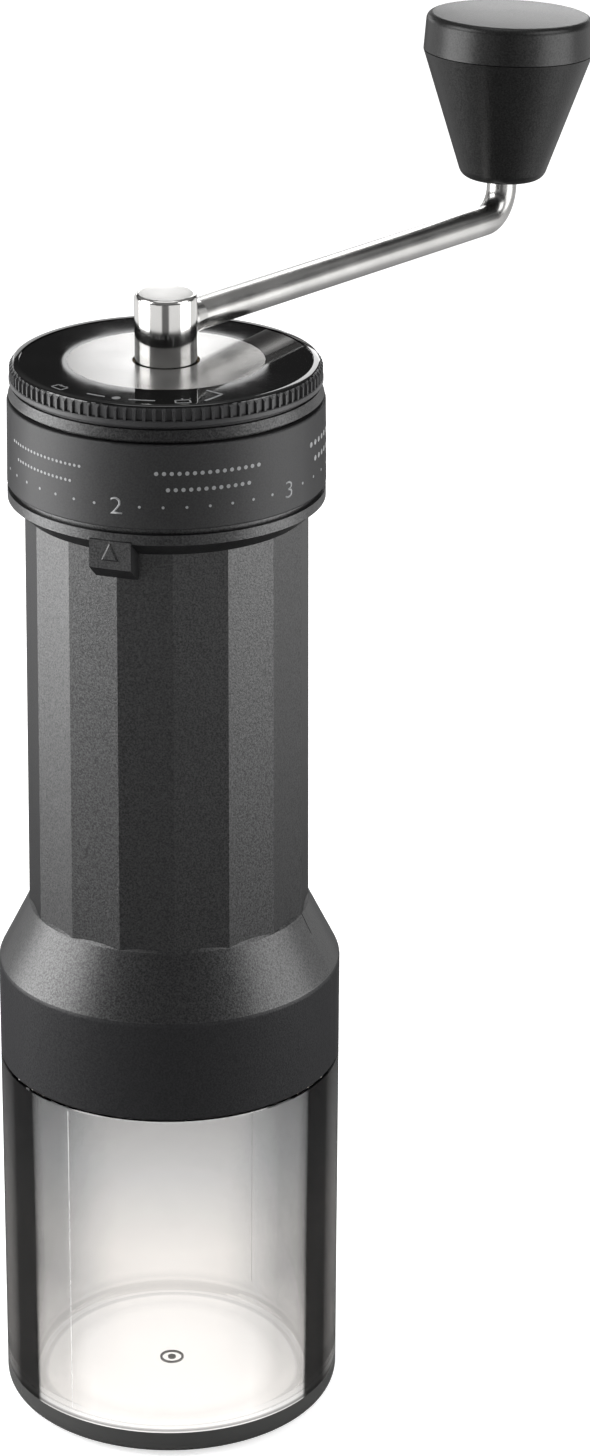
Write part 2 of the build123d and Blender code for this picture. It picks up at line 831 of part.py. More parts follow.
makers = {
    "jar": make_jar,
    "jar_seal": make_jar_seal,
    "barrel_housing": make_barrel_housing,
    "index_ring": make_index_ring,
    "dial_ring": make_dial_ring,
    "top_ring": make_top_ring,
    "lid_ring": make_lid_ring,
    "lid_cover": make_lid_cover,
    "lid_disc": make_lid_disc,
    "hub_bush": make_hub_bush,
    "hub_clip": make_hub_clip,
    "crank_hub": make_crank_hub,
    "crank_arm": make_crank_arm,
    "knob_body": make_knob_body,
    "knob_cap": make_knob_cap,
    "knob_bush": make_knob_bush,
    "knob_washer": make_knob_washer,
    "knob_screw": make_knob_screw,
    "drive_shaft": make_drive_shaft,
    "bearing_spider": make_bearing_spider,
    "upper_bush": make_upper_bush,
    "shaft_clips": make_shaft_clips,
    "thrust_washers": make_thrust_washers,
    "burr_carrier": make_burr_carrier,
    "lower_bush": make_lower_bush,
    "carrier_screws": make_carrier_screws,
    "outer_burr": make_outer_burr,
    "inner_burr": make_inner_burr,
    "burr_washer": make_burr_washer,
    "burr_nut": make_burr_nut,
}

os.makedirs("parts", exist_ok=True)
for node, make in makers.items():
    export_step(make(), f"parts/{node}.step")
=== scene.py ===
import json
import math

import bpy
from mathutils import Matrix, Vector

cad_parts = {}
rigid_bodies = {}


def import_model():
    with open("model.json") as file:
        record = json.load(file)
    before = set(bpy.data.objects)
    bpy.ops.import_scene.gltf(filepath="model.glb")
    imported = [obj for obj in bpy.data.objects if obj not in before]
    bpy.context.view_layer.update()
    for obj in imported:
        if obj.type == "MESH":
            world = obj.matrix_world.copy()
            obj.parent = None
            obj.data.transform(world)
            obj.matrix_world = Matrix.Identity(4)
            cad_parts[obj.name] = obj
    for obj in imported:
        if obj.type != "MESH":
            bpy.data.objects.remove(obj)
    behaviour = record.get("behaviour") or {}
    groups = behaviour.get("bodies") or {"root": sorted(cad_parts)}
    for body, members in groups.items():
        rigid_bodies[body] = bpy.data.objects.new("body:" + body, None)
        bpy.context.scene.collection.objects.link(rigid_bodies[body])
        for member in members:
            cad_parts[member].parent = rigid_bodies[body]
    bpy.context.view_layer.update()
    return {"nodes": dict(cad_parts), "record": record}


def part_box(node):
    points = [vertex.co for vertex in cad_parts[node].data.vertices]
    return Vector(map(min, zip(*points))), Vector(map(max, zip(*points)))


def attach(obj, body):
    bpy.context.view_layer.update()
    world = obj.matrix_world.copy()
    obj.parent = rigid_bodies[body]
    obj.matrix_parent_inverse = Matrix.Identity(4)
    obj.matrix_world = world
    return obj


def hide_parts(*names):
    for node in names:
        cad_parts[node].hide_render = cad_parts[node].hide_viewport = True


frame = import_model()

bl_info = {
    "name": "Hand crank coffee grinder",
    "version": (1, 0, 0),
    "blender": (4, 5, 0),
    "location": "View3D > Sidebar > Grinder",
    "description": "Dresses the packed hand grinder: jar, prints, finishes and a white studio",
    "category": "Object",
}

MM = 0.001
RECORD = frame["record"]

# The photograph's view, in the grinder's own frame: where the camera stood, what it looked at
# and its tilt.
CAMERA_PLACE = Vector((257.75, -695.6, 440.4)) * MM
CAMERA_TARGET = Vector((22.48, 7.52, 138.1)) * MM
CAMERA_LENS = 105.84
CAMERA_SENSOR = 36.0
CAMERA_ROLL = math.radians(0.359)
VIEW_TURN = math.radians(18.5)

# Sizes of the CAD's jar, barrel and dial that the added pieces follow, in millimetres.
JAR_OUTER, JAR_NECK, JAR_BORE = 32.5, 29.0, 27.1
JAR_FLOOR, JAR_SHOULDER, JAR_RIM = 4.0, 72.0, 84.4
COLLAR_TOP = 92.2
BARREL_SIDES = 16
DIAL_FOOT_RADIUS, DIAL_TOP_RADIUS = 29.15, 28.95


def linear(code):
    """Linear colour of an sRGB hex value."""
    parts = [int(code[i : i + 2], 16) / 255 for i in (1, 3, 5)]
    return [p / 12.92 if p <= 0.04045 else ((p + 0.055) / 1.055) ** 2.4 for p in parts]


def colour(label, told, code):
    """A colour that a user may change, given as sRGB hex."""
    return bpy.props.FloatVectorProperty(
        name=label, description=told, subtype="COLOR", size=3, min=0, max=1, default=linear(code)
    )


def length(label, told, millimetres):
    """A length that a user may change, given in millimetres."""
    return bpy.props.FloatProperty(
        name=label,
        description=told,
        unit="LENGTH",
        subtype="DISTANCE",
        min=0,
        default=millimetres * MM,
    )


class GrinderColours(bpy.types.PropertyGroup):
    """Colours of the grinder's finishes."""

    barrel: colour("Barrel", "Dark plastic of the barrel, collar and fixed rings", "#171718")
    dial: colour("Dial", "Dark plastic of the grind dial", "#222223")
    lid: colour("Lid ring", "Dark plastic of the lid's ribbed ring", "#313132")
    cover: colour("Lid cover", "Gloss black plastic of the lid's cover", "#070707")
    knob: colour("Knob", "Black plastic of the knob", "#0e0e0e")
    inner: colour("Inner plastic", "Plastic of the carrier and the bearing bridge", "#2c2c2d")
    jar: colour("Jar", "Tint of the clear jar", "#fbfaf9")
    seal: colour("Seal", "Silicone of the jar's seal", "#2e2e2e")
    polished: colour("Polished steel", "Bright steel of the crank", "#cfcecc")
    satin: colour("Satin steel", "Satin steel of the lid's disc", "#e4e3e2")
    steel: colour("Plain steel", "Turned steel of the shaft and small parts", "#b4b4b2")
    brass: colour("Brass", "Turned brass of the bushes", "#86693a")
    ceramic: colour("Ceramic", "Fired ceramic of the burrs", "#e6e3da")
    ink: colour("Dial print", "Pale ink of the dial", "#8e8f90")
    lid_ink: colour("Lid print", "Grey ink of the lid", "#757677")
    # The jar's foot in this grey is painted shade; the gate mark on the jar's floor has it as its
    # own colour.
    smoke: colour("Smoke", "Smoke grey of the jar's foot and of the mark on its floor", "#6a6a69")
    parting: colour("Parting line", "Dark line where the mould parts", "#0d0d0d")
    floor: colour("Floor", "Studio floor", "#dcdcdc")


class GrinderSizes(bpy.types.PropertyGroup):
    """Sizes of the marks that are printed on the grinder, and of the plastic's grain."""

    numeral_height: length("Numeral height", "Height of the dial's numbers", 3.1)
    numeral_level: length("Numeral level", "Height of the row of numbers and dots", 191.65)
    dot_radius: length("Dot radius", "Radius of the dots between the numbers", 0.26)
    ink_height: length("Ink height", "How far the ink stands on the surface", 0.025)
    lid_mark_radius: length("Lid mark radius", "Radius of the row of marks on the lid", 24.2)
    lid_stroke: length("Lid stroke", "Width of the lines printed on the lid", 0.5)
    grain: length("Grain", "Width of the plastic's grain, drawn coarse enough to show", 0.42)


def sizes():
    return bpy.context.scene.grinder_sizes


def colours():
    return bpy.context.scene.grinder_colours


# Shaping tools


def deselect():
    if bpy.context.object and bpy.context.object.mode != "OBJECT":
        bpy.ops.object.mode_set(mode="OBJECT")
    bpy.ops.object.select_all(action="DESELECT")


def start_sheet(name):
    """A new flat piece in edit mode, with nothing in it yet."""
    deselect()
    bpy.ops.mesh.primitive_plane_add(size=MM)
    piece = bpy.context.object
    piece.name = name
    piece.data.name = name
    bpy.ops.object.mode_set(mode="EDIT")
    bpy.ops.mesh.delete(type="VERT")
    return piece


def swept(points, angle, steps, centre=(0, 0, 0)):
    """In edit mode: a line through the points, spun about the upright axis through the centre."""
    bpy.ops.mesh.select_all(action="DESELECT")
    bpy.ops.mesh.primitive_plane_add(size=MM)
    bpy.ops.mesh.merge(type="CENTER")
    bpy.ops.transform.translate(value=points[0])
    for before, after in zip(points, points[1:]):
        step = Vector(after) - Vector(before)
        bpy.ops.mesh.extrude_vertices_move(TRANSFORM_OT_translate={"value": step})
    bpy.ops.mesh.select_linked()
    bpy.ops.mesh.spin(steps=steps, angle=angle, center=centre, axis=(0, 0, 1))


def close_up(crease_degrees):
    """Leaves edit mode with doubles merged, faces outwards and edges over the crease kept sharp."""
    bpy.ops.mesh.select_all(action="SELECT")
    bpy.ops.mesh.remove_doubles(threshold=MM / 2000)
    bpy.ops.mesh.normals_make_consistent(inside=False)
    bpy.ops.object.mode_set(mode="OBJECT")
    bpy.ops.object.shade_smooth_by_angle(angle=math.radians(crease_degrees))


def arc(centre_radius, centre_height, radius, start_degrees, end_degrees, steps):
    """Points of a rounded edge in an outline, as radius and height in millimetres."""
    step = (end_degrees - start_degrees) / steps
    turns = [math.radians(start_degrees + step * i) for i in range(steps + 1)]
    return [
        (centre_radius + radius * math.cos(t), centre_height + radius * math.sin(t)) for t in turns
    ]


def upright(outline):
    """Outline of radii and heights in millimetres as points beside the axis."""
    return [Vector((radius, 0, height)) * MM for radius, height in outline]


def disc(x, y, radius, vertices=14):
    """In edit mode: a flat round mark."""
    bpy.ops.mesh.primitive_circle_add(
        vertices=vertices, radius=radius, fill_type="NGON", location=(x, y, 0)
    )


def strip(start, end, width, steps=8):
    """In edit mode: a flat straight line of the given width, cut into steps along its length."""
    run = Vector(end) - Vector(start)
    turn = math.atan2(run.y, run.x)
    middle = ((Vector(start) + Vector(end)) / 2).to_2d().to_3d()
    bpy.ops.mesh.select_all(action="DESELECT")
    bpy.ops.mesh.primitive_grid_add(
        x_subdivisions=steps, y_subdivisions=1, size=1, location=middle, rotation=(0, 0, turn)
    )
    shape = Matrix.Diagonal((run.length, width, 1))
    across = Matrix.Rotation(turn, 3, "Z") @ shape @ Matrix.Rotation(-turn, 3, "Z")
    bpy.ops.object.mode_set(mode="OBJECT")
    for vertex in bpy.context.object.data.vertices:
        if vertex.select:
            vertex.co = middle + across @ (vertex.co - middle)
    bpy.ops.object.mode_set(mode="EDIT")


def raise_ink(piece, height):
    """Leaves edit mode and gives a flat mark its thickness of ink."""
    deselect()
    piece.select_set(True)
    bpy.context.view_layer.objects.active = piece
    bpy.ops.object.modifier_add(type="SOLIDIFY")
    solid = piece.modifiers[-1]
    solid.thickness = height
    solid.offset = 1
    bpy.ops.object.modifier_apply(modifier=solid.name)


def lay_marks(piece, place):
    """Lays a piece on a surface: place gives a point for how far along, how high and how proud."""
    for vertex in piece.data.vertices:
        vertex.co = place(*vertex.co)
    piece.data.update()


def dress(piece, material):
    piece.data.materials.clear()
    piece.data.materials.append(material)


# Finishes

ABS_IOR = 1.53
CLEAR_IOR = 1.5
FINE_GRAIN = 0.8


def add(tree, kind, inputs=None, **settings):
    """Adds one shader node. Each input is a value, or another node's output to link."""
    node = tree.nodes.new(kind)
    for name, value in settings.items():
        setattr(node, name, value)
    for socket, value in (inputs or {}).items():
        if isinstance(value, bpy.types.NodeSocket):
            tree.links.new(value, node.inputs[socket])
        else:
            node.inputs[socket].default_value = value
    return node


def compute(tree, operation, first, second):
    """Arithmetic on two values, each a number or another node's output."""
    return add(tree, "ShaderNodeMath", {0: first, 1: second}, operation=operation).outputs[0]


def times(tree, first, second):
    return compute(tree, "MULTIPLY", first, second)


def above(tree, value, limit):
    return compute(tree, "GREATER_THAN", value, limit)


def below(tree, value, limit):
    return compute(tree, "LESS_THAN", value, limit)


def remap(tree, value, span, onto=(0.0, 1.0)):
    """A value carried over from one range to another, and held at its ends."""
    ends = ("From Min", "From Max", "To Min", "To Max")
    inputs = {"Value": value, **dict(zip(ends, (*span, *onto)))}
    return add(tree, "ShaderNodeMapRange", inputs).outputs["Result"]


def ramp(tree, value, stops):
    """Colours along a value from 0 to 1, given as stops of position and colour."""
    node = add(tree, "ShaderNodeValToRGB", {"Fac": value})
    elements = node.color_ramp.elements
    elements.remove(elements[1])
    elements[0].position = stops[0][0]
    for position, _ in stops[1:]:
        elements.new(position)
    for element, (_, tone) in zip(elements, stops):
        element.color = [*tone, 1]
    return node.outputs["Color"]


def noise(tree, place, width, detail, roughness=0.5):
    """Soft noise with features of about the given width."""
    inputs = {"Vector": place, "Scale": 1 / width, "Detail": detail, "Roughness": roughness}
    return add(tree, "ShaderNodeTexNoise", inputs).outputs["Fac"]


def bumps(tree, height, depth, strength=1.0):
    inputs = {"Height": height, "Strength": strength, "Distance": depth}
    return add(tree, "ShaderNodeBump", inputs).outputs["Normal"]


def blend(tree, share, first, second, kind="MIX"):
    """A colour between two others, or made from both."""
    inputs = {"Factor": share, 6: first, 7: second}
    return add(tree, "ShaderNodeMix", inputs, data_type="RGBA", blend_type=kind).outputs[2]


def either(tree, share, first, second):
    """A surface that is the first where the share is 0 and the second where it is 1."""
    return add(tree, "ShaderNodeMixShader", {0: share, 1: first, 2: second}).outputs[0]


def facing_away(tree):
    """How far a surface turns away from the eye: 0 square on, 1 edge on."""
    return add(tree, "ShaderNodeLayerWeight", {"Blend": 0.5}).outputs["Facing"]


def level_of(tree, place):
    return add(tree, "ShaderNodeSeparateXYZ", {"Vector": place}).outputs["Z"]


def length_of(tree, vector):
    return add(tree, "ShaderNodeVectorMath", {0: vector}, operation="LENGTH").outputs["Value"]


def reach_of(tree, place):
    """Distance from the grinder's upright axis."""
    flat = add(tree, "ShaderNodeVectorMath", {0: place, 1: (1, 1, 0)}, operation="MULTIPLY")
    return length_of(tree, flat.outputs[0])


def principled(tree, **inputs):
    named = {name.replace("_", " "): value for name, value in inputs.items()}
    return add(tree, "ShaderNodeBsdfPrincipled", named).outputs[0]


def blank(name):
    """A new material with nothing in it, and the place on the piece in metres."""
    material = bpy.data.materials.new(name)
    material.use_nodes = True
    tree = material.node_tree
    tree.nodes.clear()
    place = add(tree, "ShaderNodeTexCoord").outputs["Object"]
    return material, tree, place


def shown(tree, surface):
    add(tree, "ShaderNodeOutputMaterial", {"Surface": surface})


def shade(tone, factor):
    return [min(1, c * factor) for c in tone]


def cool(tone, factor, share):
    """A shade of the tone with a little less red and a little more blue."""
    red, green, blue = shade(tone, factor)
    return [red * (1 - share), green, blue * (1 + share)]


def moulded_plastic(
    name,
    tone,
    *,
    roughness,
    grain,
    depth,
    ior=ABS_IOR,
    unevenness=0.08,
    shine=0.5,
    sparkle=0.0,
    dull_below=None,
):
    """Moulded plastic: a fine grain that breaks up highlights, and faint clouds of flow."""
    flow_width, dull_share, lighter_below = 18 * MM, 0.3, 2.1
    material, tree, place = blank(name)
    speck = noise(tree, place, grain, 2.0, 0.6)
    cloud = noise(tree, place, flow_width, 3.0)
    base = ramp(
        tree, cloud, [(0.3, shade(tone, 1 - unevenness)), (0.7, shade(tone, 1 + unevenness))]
    )
    spread = min(0.05, roughness * 0.4)
    gloss = remap(tree, speck, (0.3, 0.7), (roughness - spread, roughness + spread))
    glints = (shine * (1 - sparkle), shine * (1 + sparkle))
    level = remap(tree, speck, (0.35, 0.65), glints)
    # The grain hides the mirror shine that smooth plastic has where it is seen edge on.
    hidden = 0.75 * min(1, sparkle * 5)
    edge = remap(tree, facing_away(tree), (0.5, 0.8), (1.0, 1 - hidden))
    level = times(tree, level, edge)
    # Below the given level the shine is cut and the base colour made lighter.
    if dull_below:
        upper = above(tree, level_of(tree, place), dull_below)
        level = times(tree, level, remap(tree, upper, (0, 1), (dull_share, 1.0)))
        base = blend(tree, upper, [*shade(tone, lighter_below), 1], base)
    surface = principled(
        tree,
        Base_Color=base,
        Roughness=gloss,
        IOR=ior,
        Specular_IOR_Level=level,
        Normal=bumps(tree, speck, depth),
    )
    shown(tree, surface)
    return material


def worked_metal(name, tone, *, roughness, line_spacing, depth, turned=False, stain_and_shade_beyond=None):
    """Worked metal: tool lines round the axis, or polish waves where it isn't turned, and haze."""
    haze_width, spread, grey, stain_and_shade_run = 7 * MM, 0.03, 0.42, 10 * MM
    material, tree, place = blank(name)
    along = place
    if turned:
        inputs = {"X": reach_of(tree, place), "Z": level_of(tree, place)}
        along = add(tree, "ShaderNodeCombineXYZ", inputs).outputs[0]
    lines = noise(tree, along, line_spacing, 3.0)
    haze = noise(tree, place, haze_width, 4.0)
    gloss = remap(tree, haze, (0.3, 0.7), (roughness - spread, roughness + spread))
    base = ramp(tree, haze, [(0.3, shade(tone, 0.95)), (0.7, shade(tone, 1.02))])
    # Past this reach the metal's colour is darkened: partly a bending stain, partly painted shade
    # on what the bend mirrors.
    if stain_and_shade_beyond:
        share = remap(tree, reach_of(tree, place), (stain_and_shade_beyond, stain_and_shade_beyond + stain_and_shade_run))
        base = blend(tree, share, base, [*shade(tone, grey), 1])
    normal = bumps(tree, lines, depth)
    shown(tree, principled(tree, Base_Color=base, Metallic=1.0, Roughness=gloss, Normal=normal))
    return material


def spark_grained_abs():
    # ABS from a spark-eroded tool: dark anthracite with a sandy grain that sparkles where the light
    # rakes it. The collar below the crease has less shine than the barrel and the flare, and a base
    # colour 2.1 times lighter.
    return moulded_plastic(
        "abs_spark_grained",
        colours().barrel,
        roughness=0.38,
        grain=sizes().grain * FINE_GRAIN,
        depth=0.035 * MM,
        shine=0.58,
        sparkle=0.4,
        dull_below=COLLAR_TOP * MM,
    )


def satin_abs_dial():
    # ABS from a finely blasted tool: smoother than the barrel, with a soft satin band of light.
    return moulded_plastic(
        "abs_satin_dial",
        colours().dial,
        roughness=0.54,
        grain=sizes().grain * FINE_GRAIN,
        depth=0.014 * MM,
        shine=0.36,
        sparkle=0.2,
    )


def satin_abs_lid():
    """Lid ring in two finishes: satin ribs round the side, polished black on top by the cover."""
    # ABS moulded in one tool with a polished top face: the ribs stay dull grey and the top mirrors
    # the studio.
    material, tree, place = blank("abs_satin_ribs_polished_top")
    top_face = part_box("lid_ring")[1].z - 0.3 * MM
    top = above(tree, level_of(tree, place), top_face)
    speck = noise(tree, place, sizes().grain * FINE_GRAIN, 2.0)
    surface = principled(
        tree,
        Base_Color=ramp(tree, top, [(0, colours().lid), (1, colours().cover)]),
        Roughness=remap(tree, top, (0, 1), (0.42, 0.1)),
        IOR=ABS_IOR,
        Specular_IOR_Level=remap(tree, top, (0, 1), (0.3, 0.5)),
        Normal=bumps(tree, speck, 0.01 * MM, remap(tree, top, (0, 1), (0.5, 0.0))),
    )
    shown(tree, surface)
    return material


def polished_black_abs():
    # ABS from a mirror-polished tool: deep black with sharp reflections and a trace of waviness.
    return moulded_plastic(
        "abs_mirror_black",
        colours().cover,
        roughness=0.04,
        grain=9 * MM,
        depth=0.0004 * MM,
        unevenness=0.2,
    )


def fine_grained_knob():
    # Black ABS from a fine spark-eroded tool: matte, with a grey bloom where light comes in low.
    return moulded_plastic(
        "abs_fine_grained_black",
        colours().knob,
        roughness=0.36,
        grain=sizes().grain * FINE_GRAIN,
        depth=0.02 * MM,
        shine=0.3,
        sparkle=0.25,
    )


def plain_inner_plastic():
    # Glass-filled nylon straight from the tool: dull, slightly streaky dark grey.
    return moulded_plastic(
        "nylon_glass_filled",
        colours().inner,
        roughness=0.6,
        grain=sizes().grain,
        depth=0.012 * MM,
    )


def silicone_rubber():
    # Pressed silicone: soft dull grey with a faint powdery bloom.
    return moulded_plastic(
        "silicone_pressed",
        colours().seal,
        roughness=0.75,
        grain=sizes().grain * 0.7,
        depth=0.006 * MM,
        ior=1.41,
    )


def mirror_steel():
    # Stainless steel, mirror polished on a wheel: sharp bright and dark bands, with slight waves
    # from the buffing.
    return worked_metal(
        "stainless_mirror_polished",
        colours().polished,
        roughness=0.1,
        line_spacing=4 * MM,
        depth=0.004 * MM,
    )


def buffed_bar():
    # Stainless steel bar, drawn, bent and buffed by hand: softer bands than the hub's, and greyer
    # round the end bend, partly a stain from bending and partly painted shade that dims what the
    # bend mirrors.
    return worked_metal(
        "stainless_buffed_bar",
        colours().polished,
        roughness=0.24,
        line_spacing=4 * MM,
        depth=0.0012 * MM,
        stain_and_shade_beyond=101 * MM,
    )


def satin_steel():
    # Stainless steel, faced and satin brushed: a bright bloom that smears what it mirrors.
    return worked_metal(
        "stainless_satin_brushed",
        colours().satin,
        roughness=0.24,
        line_spacing=0.25 * MM,
        depth=0.0012 * MM,
        turned=True,
    )


def turned_steel():
    # Free-cutting steel, turned: fine rings from the tool and a dull grey shine.
    return worked_metal(
        "steel_turned",
        colours().steel,
        roughness=0.3,
        line_spacing=0.22 * MM,
        depth=0.003 * MM,
        turned=True,
    )


def turned_brass():
    # Brass, turned: warm yellow with fine rings.
    return worked_metal(
        "brass_turned",
        colours().brass,
        roughness=0.28,
        line_spacing=0.22 * MM,
        depth=0.003 * MM,
        turned=True,
    )


def fired_ceramic():
    # Alumina ceramic, pressed and fired: chalky warm white with fine pits.
    return moulded_plastic(
        "alumina_fired",
        colours().ceramic,
        roughness=0.55,
        grain=0.5 * MM,
        depth=0.02 * MM,
        ior=1.76,
        unevenness=0.05,
    )


def printed_ink(tone):
    # Pad-printed ink: pale grey, dull, a little thin in places.
    return moulded_plastic(
        "ink_pad_printed",
        tone,
        roughness=0.6,
        grain=0.5 * MM,
        depth=0.002 * MM,
        ior=1.5,
        unevenness=0.1,
    )


def smoky_wall(tree, level, height, tone):
    """Painted shade in the colour that the jar's wall gives what is seen through it, by slant and
    by height.
    """
    facing = facing_away(tree)
    # The dark bands where the wall is seen edge on are painted shade, not a tint of the plastic.
    edge = [
        (0.66, shade(tone, 0.025)),
        (0.71, shade(tone, 0.10)),
        (0.80, shade(tone, 0.22)),
        (1.00, shade(tone, 0.45)),
    ]
    wall = [
        (0.10, tone),
        (0.17, shade(tone, 0.90)),
        (0.25, cool(tone, 0.66, 0.015)),
        (0.335, cool(tone, 0.46, 0.02)),
        (0.43, cool(tone, 0.40, 0.02)),
        (0.475, cool(tone, 0.26, 0.02)),
        (0.50, shade(tone, 0.03)),
    ]
    # Near the floor the painted shade on the wall is lighter, standing in for the light that the
    # floor gathers there.
    foot_wall = [
        (0.25, tone),
        (0.335, shade(tone, 0.80)),
        (0.44, shade(tone, 0.70)),
        (0.485, shade(tone, 0.55)),
        (0.505, shade(tone, 0.03)),
    ]
    rise = remap(tree, level, (12 * MM, 36 * MM))
    slant = blend(tree, rise, ramp(tree, facing, foot_wall + edge), ramp(tree, facing, wall + edge))
    # The painted shade deepens towards the neck, below the dark housing, and runs in a thin dark
    # line along the foot.
    neck = [
        (0.0650, tone),
        (0.0660, shade(tone, 0.35)),
        (0.0695, shade(tone, 0.35)),
        (0.0720, tone),
        (0.30, tone),
        (0.52, shade(tone, 0.90)),
        (0.72, cool(tone, 0.63, 0.03)),
        (0.84, cool(tone, 0.47, 0.03)),
    ]
    return blend(tree, 1.0, slant, ramp(tree, height, neck), "MULTIPLY")


def clear_smoke_jar():
    """Clear moulded plastic, with painted shade along the thick wall's edges, towards the neck and
    on the foot.
    """
    # Styrene acrylonitrile, moulded and polished: clear in the middle, with painted shade where the
    # wall is seen edge on.
    floor_top, corner_top, foot_top = 4.1 * MM, 6.2 * MM, 5.2 * MM
    corner_radius, foot_radius = 31 * MM, 28 * MM
    skin_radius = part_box("jar")[1].x - 0.4 * MM
    material, tree, place = blank("san_clear_painted_shade")
    tone = colours().jar
    level, reach = level_of(tree, place), reach_of(tree, place)
    height = compute(tree, "DIVIDE", level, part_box("jar")[1].z)
    normal = bumps(tree, noise(tree, place, 12 * MM, 2.0), 0.002 * MM)
    polish = {"Roughness": 0.0, "IOR": CLEAR_IOR, "Normal": normal}
    # Soft grey rings by height at the floor's rounded corner are painted shade, for how the corner
    # bends what lies behind it.
    rings = [
        (0.0480, tone),
        (0.0500, shade(tone, 0.92)),
        (0.0540, tone),
        (0.0630, shade(tone, 0.95)),
        (0.0740, tone),
    ]
    inputs = {"Color": ramp(tree, height, rings), **polish}
    clear = add(tree, "ShaderNodeBsdfGlass", inputs).outputs[0]
    # The flat floor lets the light straight through, without the dim double image of the wall; its
    # grey rings by reach are painted shade.
    dish = [
        (0.68, tone),
        (0.80, shade(tone, 0.94)),
        (0.90, tone),
        (0.92, shade(tone, 0.84)),
    ]
    inputs = {"Color": ramp(tree, compute(tree, "DIVIDE", reach, JAR_BORE * MM), dish), **polish}
    floor = add(tree, "ShaderNodeBsdfRefraction", inputs).outputs[0]
    plate = either(tree, below(tree, level, floor_top), clear, floor)
    # Light leaves the thick floor and its rounded corner straight, so that the paper below shows
    # through the wall.
    back = add(tree, "ShaderNodeNewGeometry").outputs["Backfacing"]
    front = compute(tree, "SUBTRACT", 1.0, back)
    corner = times(tree, below(tree, level, corner_top), below(tree, reach, corner_radius))
    straight = add(tree, "ShaderNodeBsdfTransparent", {"Color": (1, 1, 1, 1)}).outputs[0]
    inside = either(tree, times(tree, corner, back), plate, straight)
    inputs = {"Color": smoky_wall(tree, level, height, tone), **polish}
    through = add(tree, "ShaderNodeBsdfRefraction", inputs).outputs[0]
    inputs = {"Color": (0.3, 0.3, 0.3, 1), "Roughness": 0.02, "Normal": normal}
    gleam = add(tree, "ShaderNodeBsdfGlossy", inputs).outputs[0]
    fresnel = add(tree, "ShaderNodeFresnel", {"IOR": CLEAR_IOR, "Normal": normal}).outputs[0]
    skin = either(tree, fresnel, through, gleam)
    wall = either(tree, times(tree, above(tree, reach, skin_radius), front), inside, skin)
    # The rounded foot is looked into along the wall; where it faces the eye the glass gives way to
    # an opaque dark grey surface, painted shade for the dark that the foot shows.
    rim = times(tree, below(tree, level, foot_top), above(tree, reach, foot_radius))
    deep = principled(
        tree, Base_Color=[*shade(colours().smoke, 0.4), 1], Roughness=0.2, Specular_IOR_Level=0.3
    )
    shown(tree, either(tree, times(tree, rim, front), wall, deep))
    return material


def smoked_gate():
    # Styrene acrylonitrile at the gate: cloudy dark grey from the hot nozzle, with a dull torn top.
    return moulded_plastic(
        "san_torn_gate",
        colours().smoke,
        roughness=0.4,
        grain=0.4 * MM,
        depth=0.01 * MM,
        unevenness=0.2,
    )


def trimmed_flash():
    # Styrene acrylonitrile flash, trimmed along the mould's joint: a pale hairline that is more
    # than half clear.
    material, tree, place = blank("san_trimmed_flash")
    amount = remap(tree, noise(tree, place, 3 * MM, 2.0), (0, 1), (0.05, 0.5))
    pale = add(tree, "ShaderNodeBsdfDiffuse", {"Color": [*colours().jar, 1]}).outputs[0]
    open_air = add(tree, "ShaderNodeBsdfTransparent", {"Color": (1, 1, 1, 1)}).outputs[0]
    shown(tree, either(tree, amount, open_air, pale))
    return material


def dark_parting_line():
    # ABS at the mould's joint: a fine step that holds shadow.
    return moulded_plastic(
        "abs_parting_line",
        colours().parting,
        roughness=0.7,
        grain=sizes().grain,
        depth=0.002 * MM,
        shine=0.1,
    )


def finish_nodes(finishes):
    """Gives each CAD node whose slot is listed that slot's finish."""
    made = {slot: finish() for slot, finish in finishes.items()}
    for subpart in RECORD["subparts"]:
        if subpart["material_slot"] in made:
            dress(frame["nodes"][subpart["node"]], made[subpart["material_slot"]])


class GRINDER_OT_jar(bpy.types.Operator):
    """Turns the clear catch jar, with its thick wall, its neck and the gate mark on its floor"""

    bl_idname = "grinder.jar"
    bl_label = "Catch jar"

    def execute(self, context):
        foot_round, floor_round = 3.0, 2.0
        piece = start_sheet("jar_clear")
        # A second point just beside each edge keeps the shading of the flat next to it clean.
        outline = [(0, 0), (28.8, 0)]
        outline += arc(JAR_OUTER - foot_round, foot_round, foot_round, -90, 0, 12)
        outline += [(JAR_OUTER, 3.6), (JAR_OUTER, 71.4), (JAR_OUTER, 71.8), (32.3, JAR_SHOULDER)]
        outline += [(29.4, JAR_SHOULDER), (JAR_NECK, JAR_SHOULDER), (JAR_NECK, 72.4)]
        outline += [(JAR_NECK, 84), (JAR_NECK, JAR_RIM), (28.7, JAR_RIM), (27.4, JAR_RIM)]
        outline += [(JAR_BORE, JAR_RIM), (JAR_BORE, 84), (JAR_BORE, 6.6)]
        outline += arc(JAR_BORE - floor_round, JAR_FLOOR + floor_round, floor_round, 0, -90, 10)
        outline += [(24.5, JAR_FLOOR), (0, JAR_FLOOR)]
        swept(upright(outline), math.tau, 160)
        close_up(32)
        dress(piece, clear_smoke_jar())
        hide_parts("jar")

        mark = start_sheet("jar_gate_mark")
        low, high, outer, inner, pip = JAR_FLOOR + 0.01, JAR_FLOOR + 0.3, 2.35, 1.9, 0.8
        ring = [(outer, low), (outer, high), (inner, high), (inner, low), (outer, low)]
        swept(upright(ring), math.tau, 32)
        swept(upright([(0, high), (pip, high), (pip, low), (0, low)]), math.tau, 20)
        close_up(32)
        dress(mark, smoked_gate())

        lines = start_sheet("jar_parting_lines")
        wall = JAR_OUTER * MM
        for degrees in (-15.9, 164.1):
            along = math.radians(degrees) * wall
            strip((along, 7.0 * MM), (along, 71.3 * MM), 0.16 * MM, 4)
        raise_ink(lines, 0.02 * MM)

        def on_jar(along, height, proud):
            turn = along / wall
            radius = wall + proud
            return Vector((radius * math.sin(turn), -radius * math.cos(turn), height))

        lay_marks(lines, on_jar)
        dress(lines, trimmed_flash())
        for made in (piece, mark, lines):
            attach(made, "jar")
        return {"FINISHED"}


